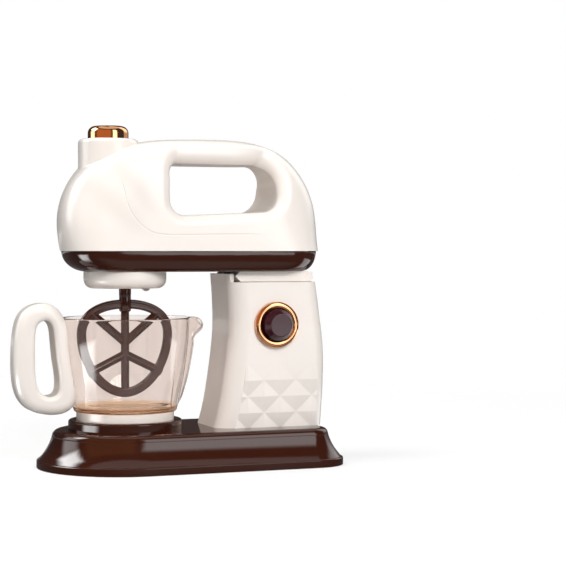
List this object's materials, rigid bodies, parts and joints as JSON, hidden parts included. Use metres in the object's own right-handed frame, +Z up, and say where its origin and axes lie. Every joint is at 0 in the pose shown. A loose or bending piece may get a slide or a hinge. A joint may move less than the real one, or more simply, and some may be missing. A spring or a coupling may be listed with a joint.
{
  "type": "toy stand mixer",
  "caption": "Toy stand mixer with a tilting head that has a grip opening, a flat beater, a clear pouring bowl with a handle, a faceted column and press buttons.",
  "frame": {"origin": "centre of the base's length and width, on the face that it stands on", "axes": "+Z up, -X towards the bowl and the head's nose, +X towards the column, -Y the side with the push button"},
  "size_m": [0.2393, 0.1292, 0.2484],
  "materials": {
    "cream_plastic": "gloss moulded",
    "brown_plastic": "high gloss moulded",
    "copper_plating": "bright copper plating on plastic",
    "smoke_plastic": "dark smoky gloss",
    "tinted_clear": "clear, faint brown tint",
    "clear_lens": "clear",
    "steel": "plated",
    "motor_steel": "drawn can",
    "brass": "turned",
    "gear_plastic": "natural",
    "circuit_board": "solder mask",
    "cell_wrap": "printed wrap, plain",
    "nickel_plate": "nickel",
    "lead_rubber": "smooth"
  },
  "bodies": {
    "stand": {"base_shell": "brown_plastic", "base_bottom_plate": "brown_plastic", "base_screws": "steel", "battery_cover": "brown_plastic", "battery_cover_screw": "steel", "battery_cells": "cell_wrap", "battery_contacts": "nickel_plate", "column_shell_left": "cream_plastic", "column_shell_right": "cream_plastic", "column_foot_screws": "steel", "column_screws": "steel", "knob_ring": "copper_plating", "power_button_spring": "steel", "switch_board": "circuit_board", "board_screws": "steel", "battery_leads": "lead_rubber", "hinge_pin": "steel"},
    "head": {"head_shell_left": "cream_plastic", "head_shell_right": "cream_plastic", "head_screws": "steel", "button_collar": "cream_plastic", "top_button_spring": "steel", "head_tray": "brown_plastic", "tray_screws": "steel", "hinge_neck": "cream_plastic", "neck_screws": "steel", "drive_cover": "cream_plastic", "cover_screws": "steel", "light_lens": "clear_lens", "light_board": "circuit_board", "motor": "motor_steel", "motor_leads": "lead_rubber", "gear_plate": "gear_plastic", "gear_plate_screws": "steel", "idler_axle": "steel", "spindle_bush": "brass"},
    "spindle": {"drive_spindle": "steel", "output_gear": "gear_plastic"},
    "idler": {"idler_gear": "gear_plastic"},
    "pinion": {"motor_pinion": "brass", "motor_shaft": "steel"},
    "beater": {"beater": "brown_plastic"},
    "top_button": {"top_button": "copper_plating"},
    "power_button": {"power_button": "smoke_plastic"},
    "bowl": {"mixing_bowl": "tinted_clear", "bowl_foot": "cream_plastic", "bowl_handle": "cream_plastic"}
  },
  "joints": [
    {"name": "head_tilt", "type": "hinge", "parent": "stand", "child": "head", "pos_m": [0.09, 0, 0.13775], "axis": [0, 1, 0], "range_deg": [0, 35]},
    {"name": "spindle_spin", "type": "hinge", "parent": "head", "child": "spindle", "pos_m": [-0.0454, 0, 0.13], "axis": [0, 0, 1], "continuous": true},
    {"name": "idler_spin", "type": "hinge", "parent": "head", "child": "idler", "pos_m": [-0.023, 0, 0.15], "axis": [0, 0, 1], "continuous": true},
    {"name": "pinion_spin", "type": "hinge", "parent": "head", "child": "pinion", "pos_m": [-0.003, 0, 0.15], "axis": [0, 0, 1], "continuous": true},
    {"name": "beater_slide", "type": "slide", "parent": "spindle", "child": "beater", "axis": [0, 0, -1], "range_m": [0, 0.004]},
    {"name": "bowl_lift", "type": "slide", "parent": "stand", "child": "bowl", "axis": [0, 0, 1], "range_m": [0, 0.004]},
    {"name": "top_button_press", "type": "slide", "parent": "head", "child": "top_button", "axis": [0, 0, -1], "range_m": [0, 0.003], "stiffness_N_per_m": 500, "springref_m": -0.001, "deforming": ["top_button_spring"]},
    {"name": "power_button_press", "type": "slide", "parent": "stand", "child": "power_button", "axis": [0, 1, 0], "range_m": [0, 0.0025], "stiffness_N_per_m": 500}
  ],
  "couplings": [
    {"joint": "idler_spin", "follows": "spindle_spin", "ratio": -3.6667},
    {"joint": "pinion_spin", "follows": "spindle_spin", "ratio": 14.667}
  ]
}
